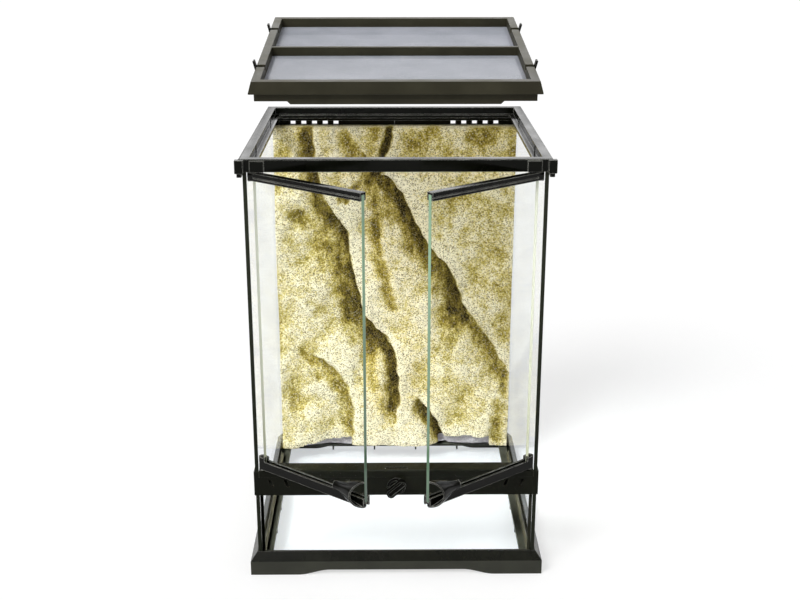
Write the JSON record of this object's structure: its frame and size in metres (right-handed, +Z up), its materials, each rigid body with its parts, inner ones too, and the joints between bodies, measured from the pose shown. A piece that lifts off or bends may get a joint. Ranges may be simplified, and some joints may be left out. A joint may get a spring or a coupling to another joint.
{
  "type": "glass terrarium",
  "caption": "Upright glass terrarium with swinging front doors, a vented front sill with a lock, a lift-off screen lid with clips, closable cable inlets and a rock relief background.",
  "frame": {"origin": "middle of the terrarium's own footprint, with its doors open as drawn, on the plane that it stands on", "axes": "+Z up, +X to the right seen from the doors, +Y from the doors to the rock background"},
  "size_m": [0.316, 0.3975, 0.5658],
  "materials": {
    "frame_plastic": "gloss",
    "door_plastic": "gloss",
    "lid_plastic": "satin",
    "knob_plastic": "gloss",
    "tank_glass": "polished",
    "door_glass": "polished",
    "silicone": "satin",
    "screen_wire": "satin",
    "pin_steel": "satin",
    "rock": "rough"
  },
  "bodies": {
    "tank": {"base_frame": "frame_plastic", "floor_glass": "tank_glass", "left_glass": "tank_glass", "right_glass": "tank_glass", "rear_glass": "tank_glass", "front_lower_glass": "tank_glass", "silicone_seams": "silicone", "vent_bar": "frame_plastic", "vent_mesh": "screen_wire", "lock_bezel": "knob_plastic", "top_frame": "frame_plastic", "left_inlet_strip": "frame_plastic", "right_inlet_strip": "frame_plastic", "upper_door_pins": "pin_steel", "lower_door_pins": "pin_steel", "rock_background": "rock"},
    "left_door": {"left_door_glass": "door_glass", "left_door_top_rail": "door_plastic", "left_door_bottom_rail": "door_plastic", "left_door_catch": "pin_steel"},
    "right_door": {"right_door_glass": "door_glass", "right_door_top_rail": "door_plastic", "right_door_bottom_rail": "door_plastic", "right_door_catch": "pin_steel"},
    "lock": {"lock_knob": "knob_plastic", "lock_crank": "pin_steel"},
    "bolt": {"lock_bolt": "pin_steel"},
    "left_shutter": {"left_inlet_shutter": "frame_plastic"},
    "right_shutter": {"right_inlet_shutter": "frame_plastic"},
    "lid": {"lid_frame": "lid_plastic", "front_screen": "screen_wire", "rear_screen": "screen_wire", "clip_pins": "pin_steel"},
    "front_left_clip_body": {"front_left_clip": "knob_plastic"},
    "front_right_clip_body": {"front_right_clip": "knob_plastic"},
    "rear_left_clip_body": {"rear_left_clip": "knob_plastic"},
    "rear_right_clip_body": {"rear_right_clip": "knob_plastic"}
  },
  "joints": [
    {"name": "left_door_hinge", "type": "hinge", "parent": "tank", "child": "left_door", "pos_m": [-0.1415, -0.10737, 0.284], "axis": [0, 0, 1], "range_deg": [-55, 37.8]},
    {"name": "right_door_hinge", "type": "hinge", "parent": "tank", "child": "right_door", "pos_m": [0.1415, -0.10737, 0.284], "axis": [0, 0, 1], "range_deg": [-37.8, 55]},
    {"name": "lock_turn", "type": "hinge", "parent": "tank", "child": "lock", "pos_m": [0, -0.11137, 0.104], "axis": [0, -1, 0], "range_deg": [-41, 49]},
    {"name": "bolt_lift", "type": "slide", "parent": "tank", "child": "bolt", "axis": [0, 0, 1], "range_m": [-0.00322, 0.00385]},
    {"name": "lid_lift", "type": "hinge", "parent": "tank", "child": "lid", "pos_m": [0, -0.65937, 0.4502], "axis": [1, 0, 0], "range_deg": [-7.1, 6]},
    {"name": "left_shutter_slide", "type": "slide", "parent": "tank", "child": "left_shutter", "axis": [-1, 0, 0], "range_m": [0, 0.0065]},
    {"name": "right_shutter_slide", "type": "slide", "parent": "tank", "child": "right_shutter", "axis": [1, 0, 0], "range_m": [0, 0.0065]},
    {"name": "front_left_clip_tip", "type": "hinge", "parent": "lid", "child": "front_left_clip_body", "pos_m": [-0.1386, -0.04487, 0.53279], "axis": [0, 0.9923, 0.1236], "range_deg": [0, 75]},
    {"name": "front_right_clip_tip", "type": "hinge", "parent": "lid", "child": "front_right_clip_body", "pos_m": [0.1386, -0.04487, 0.53279], "axis": [0, -0.9923, -0.1236], "range_deg": [0, 75]},
    {"name": "rear_left_clip_tip", "type": "hinge", "parent": "lid", "child": "rear_left_clip_body", "pos_m": [-0.1386, 0.1139, 0.55256], "axis": [0, 0.9923, 0.1236], "range_deg": [0, 75]},
    {"name": "rear_right_clip_tip", "type": "hinge", "parent": "lid", "child": "rear_right_clip_body", "pos_m": [0.1386, 0.1139, 0.55256], "axis": [0, -0.9923, -0.1236], "range_deg": [0, 75]}
  ],
  "couplings": [
    {"joint": "lock_turn", "follows": "bolt_lift", "rad_per_m": 222.14}
  ]
}
